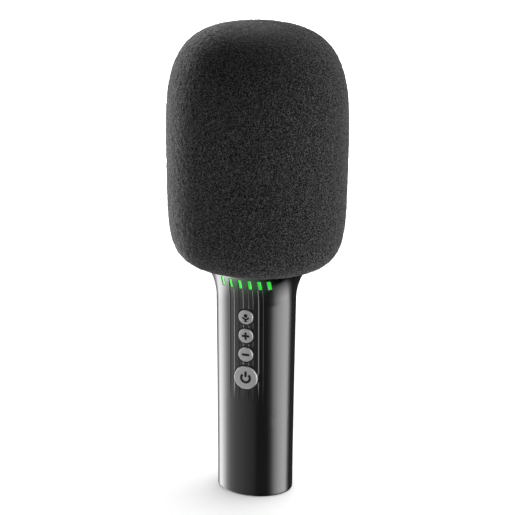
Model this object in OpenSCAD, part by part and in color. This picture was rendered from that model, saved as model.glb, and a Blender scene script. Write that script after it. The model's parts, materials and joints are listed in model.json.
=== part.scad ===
// Handheld karaoke microphone: an oval handle with lit slots round its neck, and a foam windscreen on top.
// Millimetres. The origin is the middle of the base, +Z is up, and the buttons and lights face -Y.
// What follows the oval is drawn as quarter revolves, each flattened in Y; the head inside the foam is round.

/* [Handle] */
// Height of the handle, from the base to the lip under the windscreen
handle_h = 113; // [110:1:120]
// Width of the handle at its base
base_w = 36.3; // [35.5:0.1:42]
// Width of the handle where the neck starts to flare
neck_w = 38.1; // [37:0.1:44]
// How the handle widens towards the neck: 1 is a straight taper, more is later
grip_power = 1.5; // [1:0.1:2]
// Depth of the oval section as a share of its width
section_ratio = 0.82; // [0.8:0.01:1]
// Height of the flared neck
flare_h = 17; // [15:0.5:19]
// Radius of the hollow curve of the flare
flare_r = 28; // [26:1:40]
// Wall of the two handle shells
wall = 2; // [1.6:0.1:2.4]
// Chamfer of the lip's edge
lip_edge = 0.5; // [0.2:0.1:0.8]
// Thickness of the ledge inside the lip
ledge_t = 1.7; // [1.4:0.1:2]

/* [Base] */
// Thickness of the base cap's floor
base_t = 2; // [1.6:0.1:3]
// Rounding of the base cap's lower edge
base_edge_r = 0.9; // [0.4:0.1:1.4]
// Height of the tabs that locate the base cap in the shells
tab_h = 2.2; // [1.5:0.1:3]
// Thickness of those tabs
tab_t = 1.4; // [1:0.1:1.8]

/* [Lights] */
// Number of light slots
slot_n = 6; // [4:2:6]
// Width of a slot
slot_w = 1.8; // [1.4:0.1:2.2]
// Length of a slot
slot_l = 5.2; // [4:0.1:5.6]
// Lean of the slots
slot_lean = 3; // [0:0.5:12]
// Angle between neighbouring slots
slot_step_angle = 12.5; // [11:0.5:14]
// Distance from the lip down to the middle of the slots
slot_drop = 5.2; // [5:0.1:6]
// How far the lit faces lie below the skin
light_recess = 0.35; // [0.1:0.05:0.6]
// Thickness of the light guide behind the slots
guide_t = 1.6; // [1.2:0.1:2]
// Thickness of a lamp
lamp_t = 0.7; // [0.5:0.1:0.9]
// Thickness of the bendable board that carries the lamps
lamp_board_t = 0.4; // [0.2:0.1:0.5]
// Width of the grooves that run down from the middle slots
groove_w = 2.4; // [1.8:0.1:3]
// Depth of the grooves
groove_depth = 0.3; // [0.1:0.05:0.5]
// Length of the grooves below the lip
groove_l = 68; // [62:1:80]
// Length over which a groove fades out
groove_fade = 14; // [8:1:18]

/* [Buttons] */
// Diameter of the three small buttons
button_d = 7; // [6:0.1:7.4]
// Diameter of the power button
power_d = 11.3; // [10:0.1:12]
// How far a button stands proud of the skin
button_proud = 0.5; // [0.3:0.1:0.9]
// Rounding of a button's edge
button_edge = 0.35; // [0.2:0.05:0.5]
// Width of the flange that keeps a button in the shell
flange_w = 0.8; // [0.6:0.1:0.9]
// Thickness of that flange
flange_t = 0.9; // [0.7:0.1:1]
// Travel of a button
button_travel = 0.5; // [0.3:0.05:0.6]
// Gap between a button and its hole
button_gap = 0.25; // [0.15:0.05:0.35]
// Distance from the lip down to the middle of the top button
top_button_drop = 21.7; // [20:0.1:24]
// Distance between the small buttons
button_pitch = 9.35; // [9.1:0.05:11]
// Distance from the minus button down to the power button
power_pitch = 11.7; // [11.4:0.1:14]

/* [Board] */
// Width of the circuit board
board_w = 22; // [21:0.5:23]
// Distance from the lip down to the circuit board's upper end
board_drop = 16; // [14:0.5:18]
// Thickness of the circuit board
board_t = 1.2; // [0.8:0.1:1.6]
// Distance from the handle's axis forward to the board's face
board_y = 8.2; // [8:0.1:8.4]
// Width of a push switch
switch_w = 4.5; // [4:0.1:5]
// Height of a push switch
switch_h = 2; // [1.8:0.1:2.1]
// Diameter of a switch plunger
plunger_d = 2.4; // [2:0.1:2.8]
// How far a plunger stands out of its switch
plunger_proud = 0.8; // [0.7:0.05:0.9]

/* [Cell] */
// Diameter of the rechargeable cell
cell_d = 18.4; // [17:0.1:18.6]
// Length of the rechargeable cell
cell_l = 65; // [50:1:66]

/* [Socket] */
// Width of the charging socket
socket_w = 9; // [8.8:0.05:9.2]
// Height of the charging socket
socket_h = 3.2; // [3.1:0.05:3.3]
// Length of the charging socket
socket_l = 7.3; // [6.5:0.1:9]
// Depth of the socket's mouth below the base
socket_sink = 0.9; // [0.5:0.1:1.2]

/* [Head] */
// Thickness of the head collar's flange
collar_t = 2.5; // [2:0.1:3]
// Diameter of the head cage
cage_d = 38; // [37.5:0.1:39]
// Wall of the head cage and its cap
cage_wall = 1.6; // [1.3:0.1:1.8]
// Height of the head cage
cage_h = 75; // [70:1:80]
// Height of the domed cap on the cage
cap_h = 14; // [12:0.5:17]
// Number of slots round the cage
cage_slot_n = 16; // [12:1:18]
// Width of a cage slot
cage_slot_w = 3.6; // [3:0.1:4]
// Height of the bars between the cage's rows of slots
cage_bar = 6; // [4:0.5:8]

/* [Speaker] */
// Diameter of the loudspeaker
speaker_d = 31; // [29:0.5:31]
// Height of the loudspeaker's axis above the collar
speaker_rise = 28; // [24:0.5:36]
// Distance from the handle's axis forward to the baffle's face
baffle_y = 5; // [4:0.1:5]
// Thickness of the baffle
baffle_t = 2; // [1.5:0.1:2.5]
// Depth of the loudspeaker's basket
basket_depth = 9; // [8:0.5:10]
// Free travel of the cone each way
cone_travel = 0.6; // [0.4:0.1:0.7]

/* [Capsule] */
// Diameter of the microphone capsule
capsule_d = 9.7; // [6:0.1:10]
// Length of the microphone capsule
capsule_l = 6.5; // [5:0.1:7]
// Wall of the rubber boot round the capsule
boot_t = 1.3; // [1:0.1:1.6]

/* [Windscreen] */
// Width of the windscreen
screen_w = 84.6; // [78:0.2:92]
// Depth of the windscreen as a share of its width
screen_ratio = 0.92; // [0.85:0.01:1]
// Height of the windscreen above its seat
screen_h = 112.7; // [108:0.5:120]
// Height of the windscreen's widest place above its seat
screen_widest = 57; // [50:0.5:64]
// How square the crown is: 2 is an ellipse, more is squarer
crown_power = 3.3; // [2.4:0.05:4.5]
// How square the underside is
foot_power = 5.65; // [4:0.05:7]
// Gap between the windscreen and its seat on the lip
screen_gap = 0.3; // [0.1:0.05:0.5]
// Gap between the windscreen and the cage inside it
screen_fit = 0.4; // [0.3:0.05:0.6]

/* [Screws] */
// Diameter of the screws
screw_d = 2.2; // [2:0.1:2.4]
// Diameter of their heads
screw_head_d = 3.6; // [3.2:0.1:3.8]
// Thickness of their heads
screw_head_t = 1.2; // [1:0.1:1.3]
// Length of a screw under its head
screw_l = 7; // [6:0.5:7.5]
// Gap round a screw in its hole
screw_gap = 0.1; // [0.05:0.05:0.2]
// Diameter of the bosses and posts that take the screws
boss_d = 4.4; // [4:0.1:4.6]

/* [Fits] */
// Gap between pieces that are laid or pushed into each other
fit_gap = 0.15; // [0.1:0.05:0.25]
// Radial gap of a plunger in its switch
plunger_gap = 0.05; // [0.02:0.01:0.1]

/* [Hidden] */
$fn = 72;

// How far a cutter reaches past what it cuts
cut = 1;
// Keeps the flat between two round corners from shrinking to nothing
tiny = 0.01;

// Colours, as the object shows them
shell_black = "#0c0c0e";
button_grey = "#9b9b9d";
light_green = "#10e83a";
foam_charcoal = "#2b2b2d";
inner_black = "#1d1d20";
board_green = "#1f5a3a";
steel = "#b8babd";
dark_steel = "#6d6f73";
cell_blue = "#2f5e8e";
paper_black = "#26241f";
rubber_black = "#161617";
lamp_white = "#f4f4f0";
coil_copper = "#b06a3a";

// Skin of the handle: a slow taper, then a hollow arc out to the lip
base_r = base_w / 2;
neck_r = neck_w / 2;
// The shells start above the base cap's rounded edge and a fine seam
shell_z = base_edge_r + fit_gap;
flare_z = handle_h - flare_h;
grip_steps = 6;
arc_steps = 12;
function grip_r(z) = base_r + (neck_r - base_r) * pow(z / flare_z, grip_power);
function flare_at(z, inset) = neck_r + flare_r - sqrt(pow(flare_r + inset, 2) - pow(z - flare_z, 2));
function skin_r(z, inset = 0) = z < flare_z ? grip_r(z) - inset : flare_at(z, inset);
function steps(low, high, count) = [for (i = [0 : count]) low + (high - low) * i / count];
function grip_heights(low, high) = [for (z = steps(low, flare_z, grip_steps)) if (z < high && z < flare_z) z];
function skin_heights(low, high) = high <= flare_z ? concat(grip_heights(low, high), [high])
    : concat(low < flare_z ? grip_heights(low, high) : [], steps(max(low, flare_z), high, arc_steps));
function skin_path(inset, low, high) = [for (z = skin_heights(low, high)) [skin_r(z, inset), z]];
function flip(list) = [for (i = [len(list) - 1 : -1 : 0]) list[i]];

// Half width and half depth of the inside of the handle, in real space
function inner_y(x, z) = section_ratio * sqrt(pow(skin_r(z, wall), 2) - x * x);
function inner_x(y, z) = sqrt(pow(skin_r(z, wall), 2) - pow(y / section_ratio, 2));

// Lights
slot_z = handle_h - slot_drop;
slot_corner = slot_w / 5;
// Angle that faces the front
front = 270;
function slot_angle(i) = (i - (slot_n - 1) / 2) * slot_step_angle;
function slot_x(i) = skin_r(slot_z) * sin(slot_angle(i));
guide_inset = wall + fit_gap;
lamp_inset = guide_inset + guide_t + fit_gap;
lamp_board_inset = lamp_inset + lamp_t;
lamp_back = lamp_board_inset + lamp_board_t;
guide_h = slot_l + 2 * (handle_h - ledge_t - slot_z - slot_l / 2 - fit_gap);
guide_half = slot_angle(slot_n - 1) + slot_step_angle / 2;
lamp_w = 2;
lamp_h = 3;
lamp_board_h = 5;
groove_z = handle_h - groove_l;
groove_end = groove_depth / 4;

// Buttons, from the top down
voice_z = handle_h - top_button_drop;
plus_z = voice_z - button_pitch;
minus_z = plus_z - button_pitch;
power_z = minus_z - power_pitch;
flange_gap = 0.12;
stem_d = 3;
switch_top = -board_y - switch_h;
plunger_top = switch_top - plunger_proud;
plunger_reach = 1;
switch_floor = switch_h - plunger_reach - button_travel - fit_gap;

// Board, cell and socket
board_rise = 1;
board_z = base_t + board_rise;
board_l = handle_h - board_drop - board_z;
post_x = board_w / 2 - boss_d / 2;
low_post = 12;
post_rows = [board_z + low_post, power_z - power_d / 2 - flange_w - boss_d, board_z + board_l - boss_d / 2];
board_screw_l = 5;
cell_y = inner_y(0, base_t) - 2 * fit_gap - cell_d / 2;
shelf_t = 1.6;
cell_z = base_t + tab_h + shelf_t + 2 * fit_gap;
saddle_t = 2;
cell_edge = 0.6;
nub_t = 1;
socket_y = -board_y - socket_h / 2;
socket_wall = 0.3;
socket_back = 1;
tongue_w = 6.6;
tongue_t = 0.7;
tongue_sink = 0.6;

// The base cap's floor and tabs plug into the shells
base_plug_r = skin_r(shell_z, wall) - fit_gap;

// Base bosses stand against the shells' inner wall
base_boss_y = 4.5;
boss_bite = 0.3;
base_boss_x = inner_x(base_boss_y, base_t) + boss_bite - boss_d / 2;
// Free depth of a boss beyond its screw's tip
screw_room = 1;
base_boss_h = screw_l - base_t + screw_head_t + screw_room;

// Collar, and the bosses under the ledge that take its screws
collar_top = handle_h + collar_t;
cage_r = cage_d / 2;
cage_in_r = cage_r - cage_wall;
upstand_h = 4;
upstand_t = 1.3;
upstand_r = cage_in_r - fit_gap;
collar_boss_r = upstand_r - upstand_t - fit_gap - screw_head_d / 2;
collar_boss_angles = [35, 145, 215, 325];
collar_boss_h = screw_l - collar_t + screw_head_t + screw_room;
skirt_r = collar_boss_r - boss_d / 2 - 3 * fit_gap;
skirt_t = 1.5;
skirt_end = 1;
skirt_l = ledge_t + skirt_end;
cage_top = collar_top + cage_h;
cage_rows = 3;
cage_slot_h = (cage_h - cage_bar * (cage_rows + 1)) / cage_rows;
spigot_h = 3;
dome_steps = 14;
// Half width of the flat at the very top of a dome
crown_flat = 1;
cap_slot_n = 8;
cap_slot_w = 2.6;
// Length of the cap's slots, and the radius of their middles, as shares of the cage's radius
cap_slot_share = 0.44;
cap_slot_place = 0.62;

// Loudspeaker: distances along Y from the handle's axis, front to back
speaker_z = collar_top + speaker_rise;
speaker_r = speaker_d / 2;
baffle_front = -baffle_y;
gasket_t = 0.6;
frame_t = 1;
flange_back = baffle_front - gasket_t;
flange_front = flange_back - frame_t;
speaker_rim = 2.2;
basket_r = speaker_r - speaker_rim;
basket_back = flange_front + basket_depth;
magnet_r = 10;
plate_r = 9.4;
plate_t = 1.5;
magnet_t = 4.5;
coil_r = 5;
coil_t = 0.4;
coil_gap = 0.5;
ring_step = 1;
pole_r = coil_r - coil_t - coil_gap;
window_w = 5;
window_sink = 0.5;
baffle_margin = 3;
surround_t = 0.4;
surround_edge = 0.8;
surround_r = speaker_r - surround_edge;
cone_edge = 1.6;
cone_r = basket_r - cone_edge;
cone_gap = 0.3;
cone_depth = 5.5;
cone_t = 0.5;
// The coil ends short of the back plate by the cone's travel and this room
coil_room = 2.4;
coil_l = basket_depth + plate_t + magnet_t - cone_depth - cone_travel - coil_room;
dust_r = 6;
dust_h = 1.8;
dust_foot = flange_front + cone_depth * (cone_r - dust_r) / (cone_r - coil_r) - fit_gap / 2;

// Capsule, hung under the cap's crown
boot_r = capsule_d / 2 + boot_t;
boot_gap = 0.05;
boot_floor = 1;
holder_t = 1.2;
holder_top = cage_top + cap_h - cage_wall / 2;
holder_roof = 1.4;
capsule_top = holder_top - holder_roof;
capsule_rim = 0.8;
capsule_dish = 0.4;
crown_hole_r = capsule_d / 2 - capsule_rim;
holder_bottom = capsule_top - capsule_l - boot_floor;

// Windscreen: two quarter superellipses that meet at its widest place
seat_z = handle_h + screen_gap;
widest_z = seat_z + screen_widest;
screen_r = screen_w / 2;
crown_h = screen_h - screen_widest;
seat_share = skin_r(handle_h) / screen_r;
foot_h = screen_widest / pow(1 - pow(seat_share, foot_power), 1 / foot_power);
foot_end = asin(pow(screen_widest / foot_h, foot_power / 2));
screen_steps = 20;
function square_round(a, power) = [pow(cos(a), 2 / power), pow(sin(a), 2 / power)];

// Flattens what follows the handle's oval
module oval(ratio = section_ratio) scale([1, ratio, 1]) children();

// Oval revolve in quarter turns, from an angle onwards
module oval_turn(ratio = section_ratio, quarters = 4, from = 0) {
    for (k = [0 : quarters - 1]) oval(ratio) rotate_extrude(angle = 90, start = from + 90 * k) children();
}

// Solid under the skin, inset from it: the half on one side of the parting plane
module skin_half(inset, low, high, from) {
    oval_turn(quarters = 2, from = from)
        polygon(concat([[0, low]], skin_path(inset, low, high), [[0, high]]));
}

// Curved strip that follows the skin between two insets
module skin_strip(outer, inner, low, high, from, span) {
    profile = concat(skin_path(outer, low, high), flip(skin_path(inner, low, high)));
    rotate_extrude(angle = span, start = from) polygon(profile);
}

// Keeps what is added inside a half shell within that half's wall
module within_wall(from) {
    intersection() {
        children();
        skin_half(wall / 2, base_t, handle_h, from);
    }
}

// Revolve about a line along Y at a height: points are [radius, y]
module about_y(z) translate([0, 0, z]) rotate([-90, 0, 0]) children();

// Straight round hole or pin along Y, from a place backwards
module along_y(x, y, z, d, length) translate([x, y, z]) rotate([-90, 0, 0]) cylinder(d = d, h = length);

// Rectangle with round corners
module round_rect(w, l, corner) {
    r = min(corner, min(w, l) / 2 - tiny);
    square([w - 2 * r, l], center = true);
    square([w, l - 2 * r], center = true);
    for (x = [-1, 1], y = [-1, 1]) translate([x * (w / 2 - r), y * (l / 2 - r)]) circle(r);
}

// Upright slot with round ends, cut outwards from the axis towards -Y
module radial_slot(w, l, corner, from, reach) {
    translate([0, -from, 0]) rotate([90, 0, 0]) linear_extrude(reach) round_rect(w, l, corner);
}

// The leaning slots at the neck, cut straight back from the front, or the prongs that fill them
module light_slots(gap) {
    for (i = [0 : slot_n - 1]) {
        translate([slot_x(i), 0, slot_z]) rotate([0, -slot_lean, 0])
            radial_slot(slot_w - 2 * gap, slot_l - 2 * gap, slot_corner, neck_r / 3, neck_r);
    }
}

// Shallow grooves under the middle slots, which fade out at their lower end
module grooves() {
    fade_out = [[skin_r(groove_z) + groove_end, groove_z]];
    floor_path = skin_path(groove_depth, groove_z + groove_fade, slot_z);
    outside = skin_path(-cut, groove_z, slot_z);
    intersection() {
        rotate_extrude(angle = 2 * guide_half, start = front - guide_half)
            polygon(concat(fade_out, floor_path, flip(outside)));
        for (i = [1 : slot_n - 2]) {
            translate([slot_x(i) - groove_w / 2, -base_w, groove_z])
                cube([groove_w, base_w, slot_z - groove_z]);
        }
    }
}

// Section of the handle's wall, up to the lip
function shell_profile() = concat(
    skin_path(0, shell_z, handle_h - lip_edge),
    [[skin_r(handle_h) - lip_edge, handle_h]],
    flip(skin_path(wall, shell_z, handle_h))
);

// Places of the screws: side is -1 for the front shell, 1 for the rear one
module at_base_bosses(side) {
    for (x = [-1, 1]) translate([x * base_boss_x, side * base_boss_y, 0]) children();
}

module at_collar_bosses(side) {
    for (a = collar_boss_angles) {
        y = collar_boss_r * sin(a);
        if (y * side > 0) translate([collar_boss_r * cos(a), y, 0]) children();
    }
}

module at_posts() {
    for (x = [-1, 1], z = post_rows) translate([x * post_x, 0, z]) children();
}

// Bosses that take the base and collar screws, and the ledge that the collar sits on
module shell_bosses(side) {
    at_base_bosses(side) translate([0, 0, base_t]) cylinder(d = boss_d, h = base_boss_h);
    at_collar_bosses(side) translate([0, 0, handle_h - collar_boss_h])
        cylinder(d = boss_d, h = collar_boss_h);
    translate([-base_w, -base_w, handle_h - ledge_t]) cube([2 * base_w, 2 * base_w, ledge_t]);
}

module shell_screw_holes(side) {
    hole_d = screw_d + 2 * screw_gap;
    at_base_bosses(side) cylinder(d = hole_d, h = base_t + base_boss_h + cut);
    at_collar_bosses(side) translate([0, 0, handle_h - collar_boss_h - cut])
        cylinder(d = hole_d, h = collar_boss_h + 2 * cut);
    translate([0, 0, handle_h - ledge_t - cut]) cylinder(r = skirt_r + fit_gap, h = ledge_t + 2 * cut);
}

module front_shell() color(shell_black) difference() {
    union() {
        for (from = [front - 90, front]) oval() difference() {
            rotate_extrude(angle = 90, start = from) polygon(shell_profile());
            light_slots(0);
            grooves();
        }
        within_wall(front - 90) {
            shell_bosses(-1);
            at_posts() along_y(0, -base_r, 0, boss_d, base_r - board_y);
        }
    }
    shell_screw_holes(-1);
    at_posts() along_y(0, -board_y - board_screw_l + board_t, 0, screw_d + 2 * screw_gap, board_screw_l);
    for (z = [voice_z, plus_z, minus_z]) along_y(0, -base_r, z, button_d + 2 * button_gap, base_r);
    along_y(0, -base_r, power_z, power_d + 2 * button_gap, base_r);
}

// Rear half, with shelves and saddles that hold the cell
module rear_shell() color(shell_black) difference() {
    union() {
        oval_turn(quarters = 2) polygon(shell_profile());
        within_wall(0) {
            shell_bosses(1);
            cell_holders();
        }
    }
    shell_screw_holes(1);
}

module cell_holders() {
    shelf_size = [base_w, base_r, shelf_t];
    shelf_y = cell_y + cell_d / 4;
    for (z = [base_t + tab_h + fit_gap, cell_z + cell_l + fit_gap]) {
        translate([-base_r, shelf_y, z]) cube(shelf_size);
    }
    for (z = [cell_z + cell_l / 5, cell_z + cell_l * 4 / 5]) difference() {
        translate([-base_r, cell_y, z]) cube([base_w, base_r, saddle_t]);
        translate([0, cell_y, z - cut]) cylinder(d = cell_d + 2 * fit_gap, h = saddle_t + 2 * cut);
    }
}

// Base cap: a floor with a rounded edge, and tabs that reach up into the shells
module base_cap() color(shell_black) difference() {
    union() {
        oval_turn() polygon(base_profile());
        base_tabs();
    }
    at_base_bosses(1) base_screw_hole();
    at_base_bosses(-1) base_screw_hole();
    translate([0, socket_y, -cut]) linear_extrude(base_t + 2 * cut)
        round_rect(socket_w + 2 * fit_gap, socket_h + 2 * fit_gap, socket_h);
}

function base_profile() = concat(
    [[0, 0]],
    [for (a = [0 : 15 : 90]) [grip_r(0) - base_edge_r * (1 - sin(a)), base_edge_r * (1 - cos(a))]],
    [[grip_r(0) - wall / 2, base_edge_r], [grip_r(0) - wall / 2, shell_z]],
    [[base_plug_r, shell_z], [base_plug_r, base_t], [0, base_t]]
);

module base_tabs() {
    side_tab = 2 * (base_boss_y - boss_d / 2 - 2 * fit_gap);
    rear_tab = 2 * (base_boss_x - boss_d / 2 - 2 * fit_gap);
    intersection() {
        oval_turn() translate([base_plug_r - tab_t, base_t / 2]) square([tab_t, base_t / 2 + tab_h]);
        union() {
            translate([-base_r, -side_tab / 2, 0]) cube([base_w, side_tab, base_t + tab_h]);
            translate([-rear_tab / 2, 0, 0]) cube([rear_tab, base_r, base_t + tab_h]);
        }
    }
}

module base_screw_hole() {
    translate([0, 0, -cut]) cylinder(d = screw_d + 2 * screw_gap, h = base_t + 2 * cut);
    translate([0, 0, -cut]) cylinder(d = screw_head_d + 2 * screw_gap, h = screw_head_t + fit_gap + cut);
}

// Pan-head screw, with its head's outer face at the origin and its tip towards +Z
module screw(length) {
    cylinder(d = screw_head_d, h = screw_head_t);
    cylinder(d = screw_d, h = screw_head_t + length);
}

module base_screws() color(steel) {
    for (side = [-1, 1]) at_base_bosses(side) translate([0, 0, fit_gap]) screw(screw_l - fit_gap);
}

// Light guide: a curved strip behind the slots, with a prong in each slot
module light_guide() color(light_green) oval() {
    low = slot_z - guide_h / 2;
    high = slot_z + guide_h / 2;
    skin_strip(guide_inset, guide_inset + guide_t, low, high, front - guide_half, 2 * guide_half);
    intersection() {
        light_slots(fit_gap / 2);
        skin_strip(light_recess, guide_inset + guide_t / 2, low, high, front - guide_half, 2 * guide_half);
    }
}

module lamps() color(lamp_white) oval() for (i = [0 : slot_n - 1]) {
    half = lamp_w / 2 / neck_r * 180 / PI;
    from = front + slot_angle(i) - half;
    skin_strip(lamp_inset, lamp_board_inset, slot_z - lamp_h / 2, slot_z + lamp_h / 2, from, 2 * half);
}

module lamp_board() color(board_green) oval() {
    low = slot_z - lamp_board_h / 2;
    skin_strip(lamp_board_inset, lamp_back, low, low + lamp_board_h, front - guide_half, 2 * guide_half);
}

// Push button: a flat cap with a rounded edge, a flange behind the wall, and a stem
module button(z, d) color(button_grey) {
    r = d / 2;
    flange_r = r + flange_w;
    face = -section_ratio * grip_r(z) - button_proud;
    flange = -inner_y(flange_r, z - flange_r) + flange_gap;
    edge = [for (a = [0 : 15 : 90]) [r - button_edge * (1 - sin(a)), face + button_edge * (1 - cos(a))]];
    flange_rim = [[r, flange], [flange_r, flange], [flange_r, flange + flange_t]];
    stem = [[stem_d / 2, flange + flange_t], [stem_d / 2, plunger_top], [0, plunger_top]];
    about_y(z) rotate_extrude() polygon(concat([[0, face]], edge, flange_rim, stem));
}

module voice_button() button(voice_z, button_d);
module plus_button() button(plus_z, button_d);
module minus_button() button(minus_z, button_d);
module power_button() button(power_z, power_d);

// Plunger that a button presses into its switch
module plunger(z) color(inner_black) {
    along_y(0, plunger_top, z, plunger_d, plunger_proud + plunger_reach);
}

module voice_plunger() plunger(voice_z);
module plus_plunger() plunger(plus_z);
module minus_plunger() plunger(minus_z);
module power_plunger() plunger(power_z);

// Push switch on the board, bored for its plunger
module push_switch(z) color(steel) difference() {
    translate([-switch_w / 2, switch_top, z - switch_w / 2]) cube([switch_w, switch_h, switch_w]);
    along_y(0, switch_top - cut, z, plunger_d + 2 * plunger_gap, switch_h - switch_floor + cut);
}

module voice_switch() push_switch(voice_z);
module plus_switch() push_switch(plus_z);
module minus_switch() push_switch(minus_z);
module power_switch() push_switch(power_z);

module main_board() color(board_green) difference() {
    translate([-board_w / 2, -board_y, board_z]) cube([board_w, board_t, board_l]);
    at_posts() along_y(0, -board_y - cut, 0, screw_d + 2 * screw_gap, board_t + 2 * cut);
}

module board_screws() color(steel) {
    at_posts() translate([0, -board_y + board_t + screw_head_t, 0]) rotate([90, 0, 0])
        screw(board_screw_l - 2 * fit_gap);
}

// Chips and plugs on the board's face: [x, height above the board's end, width, length, thickness]
board_blocks = [
    [-3, 26, 10, 12, 2], [5, 29, 4, 6, 1], [0, 40, 6, 5, 1.2], [-3.4, 14, 5, 4, 2.4], [3.4, 14, 5, 4, 2.4]
];
// A round coil among them: [x, height above the board's end, diameter, thickness]
board_coil = [6, 21, 4, 2];

module board_parts() color(inner_black) {
    for (b = board_blocks) {
        translate([b[0] - b[2] / 2, -board_y - b[4], board_z + b[1] - b[3] / 2]) cube([b[2], b[4], b[3]]);
    }
    along_y(board_coil[0], -board_y - board_coil[3], board_z + board_coil[1], board_coil[2], board_coil[3]);
}

// Charging socket: a flat-sided metal tube with a closed back and a tongue
module charging_socket() color(steel) translate([0, socket_y, socket_sink]) {
    difference() {
        linear_extrude(socket_l) round_rect(socket_w, socket_h, socket_h);
        translate([0, 0, -socket_back]) linear_extrude(socket_l)
            round_rect(socket_w - 2 * socket_wall, socket_h - 2 * socket_wall, socket_h);
    }
    translate([-tongue_w / 2, -tongue_t / 2, tongue_sink])
        cube([tongue_w, tongue_t, socket_l - 2 * tongue_sink]);
}

module cell() color(cell_blue) translate([0, cell_y, cell_z]) {
    r = cell_d / 2;
    shoulder = cell_l - nub_t;
    rotate_extrude() polygon([
        [0, 0], [r - cell_edge, 0], [r, cell_edge], [r, shoulder - cell_edge],
        [r - cell_edge, shoulder], [r / 3, shoulder], [r / 3, cell_l], [0, cell_l]
    ]);
}

// Head collar: closes the neck, plugs into its ledge, and locates the cage
module head_collar() color(inner_black) difference() {
    rotate_extrude() polygon([
        [skirt_r - skirt_t, handle_h - skirt_l], [skirt_r, handle_h - skirt_l], [skirt_r, handle_h],
        [cage_r, handle_h], [cage_r, collar_top], [upstand_r, collar_top],
        [upstand_r, collar_top + upstand_h], [upstand_r - upstand_t, collar_top + upstand_h],
        [upstand_r - upstand_t, collar_top], [skirt_r - skirt_t, collar_top]
    ]);
    for (side = [-1, 1]) at_collar_bosses(side) translate([0, 0, handle_h - cut])
        cylinder(d = screw_d + 2 * screw_gap, h = collar_t + 2 * cut);
}

module collar_screws() color(steel) {
    for (side = [-1, 1]) at_collar_bosses(side) translate([0, 0, collar_top + screw_head_t]) mirror([0, 0, 1])
        screw(screw_l);
}

// Head cage: a tube with rows of upright slots
module head_cage() color(inner_black) difference() {
    rotate_extrude() translate([cage_in_r, collar_top]) square([cage_wall, cage_h]);
    for (k = [0 : cage_slot_n - 1], row = [0 : cage_rows - 1]) {
        z = collar_top + cage_bar + cage_slot_h / 2 + row * (cage_slot_h + cage_bar);
        rotate([0, 0, (k + 0.5) * 360 / cage_slot_n]) translate([0, 0, z])
            radial_slot(cage_slot_w, cage_slot_h, cage_slot_w, cage_in_r / 2, cage_r);
    }
}

// Solid of the domed cap, inset from its skin
function dome_path(inset) = [for (i = [0 : dome_steps]) let (a = 90 * i / dome_steps)
    [max((cage_r - inset) * cos(a), crown_flat), cage_top + (cap_h - inset) * sin(a)]];

module dome(inset, low) rotate_extrude()
    polygon(concat([[0, low], [cage_r - inset, low]], dome_path(inset), [[0, cage_top + cap_h - inset]]));

// Domed cap of the cage, with radial slots and the tube that holds the capsule's boot
module cage_cap() color(inner_black) difference() {
    union() {
        difference() {
            dome(0, cage_top);
            dome(cage_wall, cage_top - cut);
            for (k = [0 : cap_slot_n - 1]) rotate([0, 0, (k + 0.5) * 360 / cap_slot_n])
                translate([0, cap_slot_place * cage_r, cage_top + cut]) linear_extrude(cap_h)
                    round_rect(cap_slot_w, cap_slot_share * cage_r, cap_slot_w);
        }
        rotate_extrude() polygon(spigot_profile());
        translate([0, 0, holder_bottom])
            cylinder(r = boot_r + fit_gap + holder_t, h = holder_top - holder_bottom);
    }
    translate([0, 0, holder_bottom - cut])
        cylinder(r = boot_r + fit_gap, h = capsule_top + fit_gap - holder_bottom + cut);
    translate([0, 0, cage_top]) cylinder(r = crown_hole_r, h = cap_h + cut);
}

// Ring under the cap that plugs into the cage
function spigot_profile() = [
    [upstand_r - upstand_t, cage_top - spigot_h], [upstand_r, cage_top - spigot_h],
    [upstand_r, cage_top], [cage_r - cage_wall / 2, cage_top],
    [cage_r - cage_wall / 2, cage_top + cage_wall], [upstand_r - upstand_t, cage_top + cage_wall]
];

// Rubber boot round the capsule
module capsule_boot() color(rubber_black) difference() {
    translate([0, 0, holder_bottom]) cylinder(r = boot_r, h = capsule_top - holder_bottom);
    translate([0, 0, capsule_top - capsule_l]) cylinder(d = capsule_d + 2 * boot_gap, h = capsule_l + cut);
}

module capsule() color(steel) difference() {
    translate([0, 0, capsule_top - capsule_l]) cylinder(d = capsule_d, h = capsule_l);
    translate([0, 0, capsule_top - capsule_dish]) cylinder(r = crown_hole_r, h = capsule_dish + cut);
}

// Baffle: a plate across the cage that carries the loudspeaker
module speaker_baffle() color(inner_black) difference() {
    top = speaker_z + speaker_r + baffle_margin;
    low_r = upstand_r - upstand_t - fit_gap;
    high_r = cage_in_r - fit_gap;
    shoulder = collar_top + upstand_h + fit_gap;
    intersection() {
        translate([-cage_r, baffle_front, collar_top]) cube([cage_d, baffle_t, top - collar_top]);
        rotate_extrude() polygon([
            [0, collar_top], [low_r, collar_top], [low_r, shoulder],
            [high_r, shoulder], [high_r, top], [0, top]
        ]);
    }
    about_y(speaker_z) translate([0, 0, baffle_front - cut])
        cylinder(r = basket_r + fit_gap, h = baffle_t + 2 * cut);
}

module speaker_gasket() color(rubber_black) about_y(speaker_z) rotate_extrude()
    translate([basket_r + fit_gap, flange_back]) square([speaker_r - basket_r - fit_gap, gasket_t]);

// Frame: a flange on the baffle and a tapering basket with windows
module speaker_frame() color(dark_steel) about_y(speaker_z) difference() {
    rotate_extrude() polygon([
        [basket_r - frame_t, flange_front], [speaker_r, flange_front], [speaker_r, flange_back],
        [basket_r, flange_back], [basket_r, baffle_front + baffle_t], [magnet_r, basket_back],
        [coil_r + coil_gap, basket_back], [coil_r + coil_gap, basket_back - frame_t],
        [magnet_r - frame_t, basket_back - frame_t], [basket_r - frame_t, baffle_front + baffle_t]
    ]);
    for (a = [0 : 60 : 359]) rotate([0, 0, a])
        translate([coil_r + coil_gap + frame_t, -window_w / 2, baffle_front + baffle_t + window_sink])
            cube([basket_r, window_w, basket_depth / 3]);
}

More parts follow.
